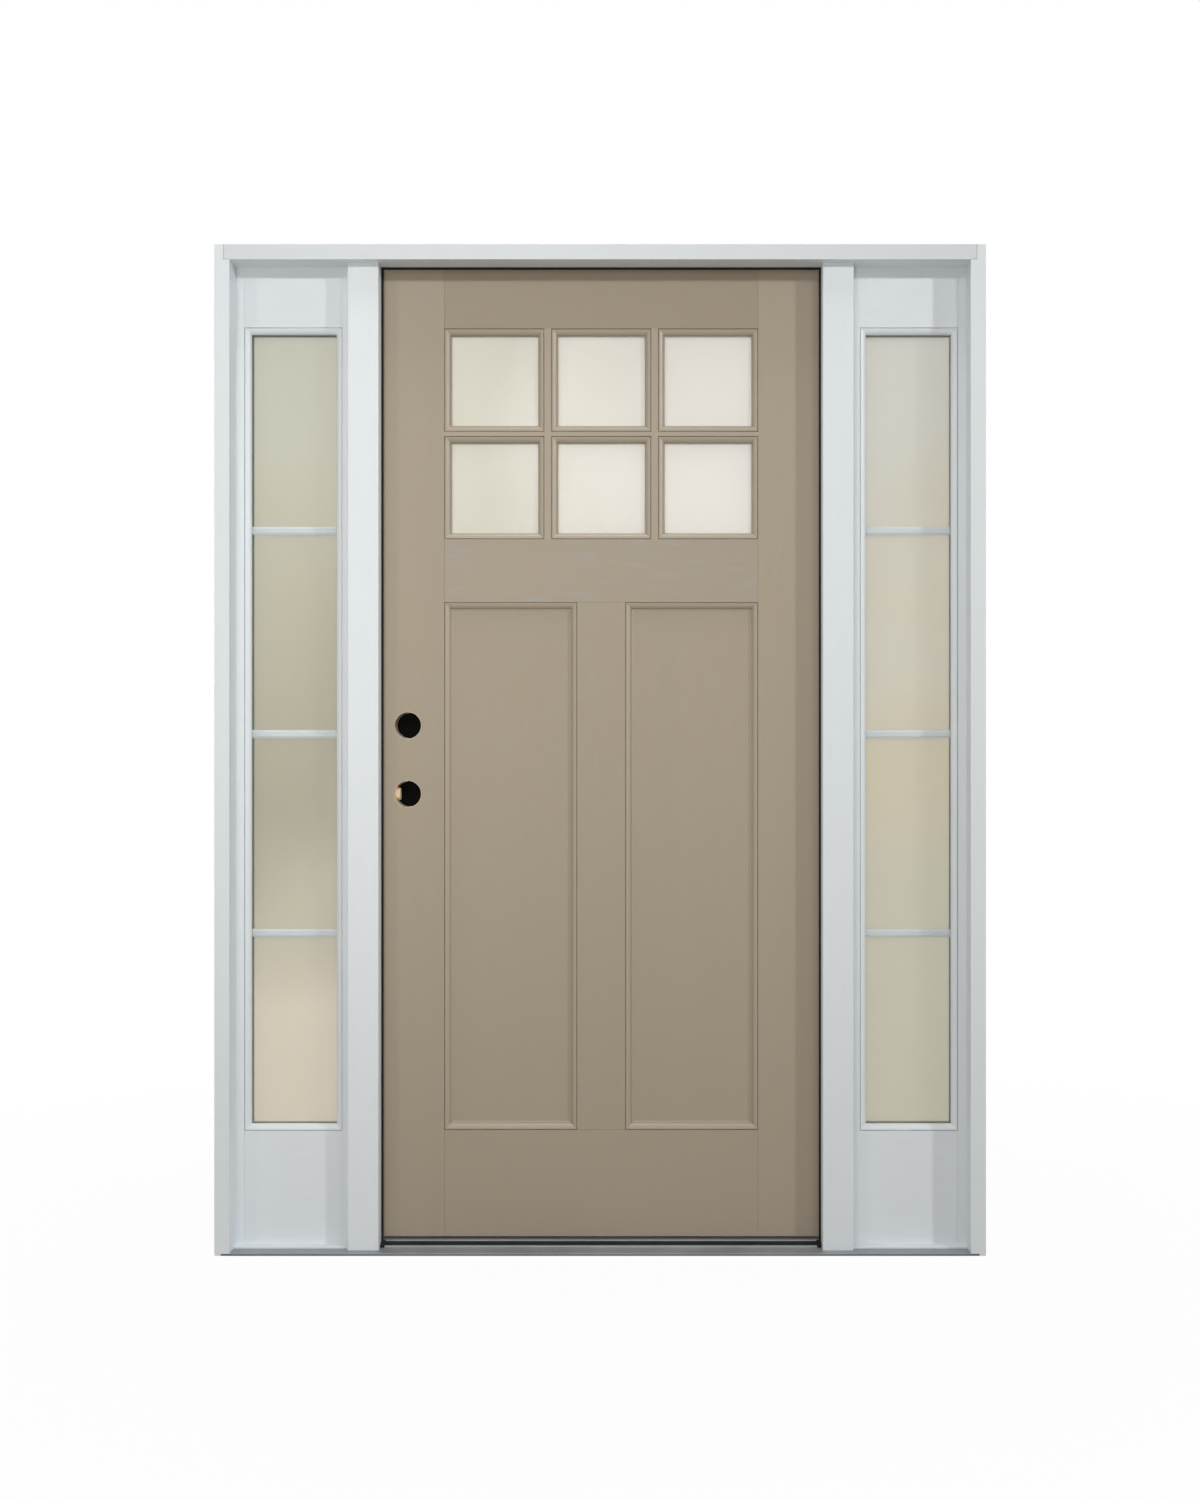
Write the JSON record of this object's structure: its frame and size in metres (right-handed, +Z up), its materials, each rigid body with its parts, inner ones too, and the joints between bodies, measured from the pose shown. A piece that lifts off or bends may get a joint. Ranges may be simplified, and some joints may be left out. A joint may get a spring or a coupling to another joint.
{
  "type": "door with sidelights",
  "caption": "Pre-hung entry door unit: a hinged stile-and-rail door with small lights over tall flat panels, between fixed slim glazed sidelights, in a white frame on a low sill.",
  "frame": {"origin": "on the underside of the sill, in the middle of the unit's width and of the frame's depth", "axes": "+X to the right seen from outside, +Y from outside to inside, +Z up"},
  "size_m": [1.5436, 0.1278, 2.0234],
  "materials": {
    "white_paint": "satin white paint",
    "taupe_paint": "satin taupe paint",
    "obscure_glass": "obscured, satin",
    "clear_glass": "clear",
    "white_bars": "white enamel",
    "sill_metal": "mill grey, satin",
    "cap_metal": "mill grey, satin",
    "black_rubber": "matt black",
    "hinge_steel": "satin"
  },
  "bodies": {
    "frame": {"left_jamb": "white_paint", "right_jamb": "white_paint", "head_jamb": "white_paint", "left_mullion": "white_paint", "right_mullion": "white_paint", "left_sidelight_outer_stile": "white_paint", "left_sidelight_inner_stile": "white_paint", "left_sidelight_top_rail": "white_paint", "left_sidelight_bottom_rail": "white_paint", "left_sidelight_mouldings": "white_paint", "left_sidelight_base_strip": "white_paint", "left_sidelight_inside_stop": "white_paint", "right_sidelight_outer_stile": "white_paint", "right_sidelight_inner_stile": "white_paint", "right_sidelight_top_rail": "white_paint", "right_sidelight_bottom_rail": "white_paint", "right_sidelight_mouldings": "white_paint", "right_sidelight_base_strip": "white_paint", "right_sidelight_inside_stop": "white_paint", "left_sidelight_glass": "obscure_glass", "left_sidelight_bars": "white_bars", "right_sidelight_glass": "obscure_glass", "right_sidelight_bars": "white_bars", "sidelight_outer_sheets": "clear_glass", "corner_pads": "black_rubber", "sill_deck": "sill_metal", "threshold_cap": "cap_metal", "sill_thermal_break": "black_rubber", "left_weatherstrip": "black_rubber", "right_weatherstrip": "black_rubber", "head_weatherstrip": "black_rubber", "hinge_frame_wings": "hinge_steel", "hinge_pins": "hinge_steel"},
    "leaf": {"lock_stile": "taupe_paint", "hinge_stile": "taupe_paint", "leaf_top_rail": "taupe_paint", "leaf_middle_rail": "taupe_paint", "leaf_bottom_rail": "taupe_paint", "leaf_centre_stile": "taupe_paint", "left_panel": "taupe_paint", "right_panel": "taupe_paint", "panel_mouldings": "taupe_paint", "light_grid": "taupe_paint", "light_mouldings": "taupe_paint", "light_panes": "obscure_glass", "hinge_leaf_wings": "hinge_steel"}
  },
  "joints": [
    {"name": "door_swing", "type": "hinge", "parent": "frame", "child": "leaf", "pos_m": [0.4572, 0.06385, 0], "axis": [0, 0, -1], "range_deg": [0, 170]}
  ]
}
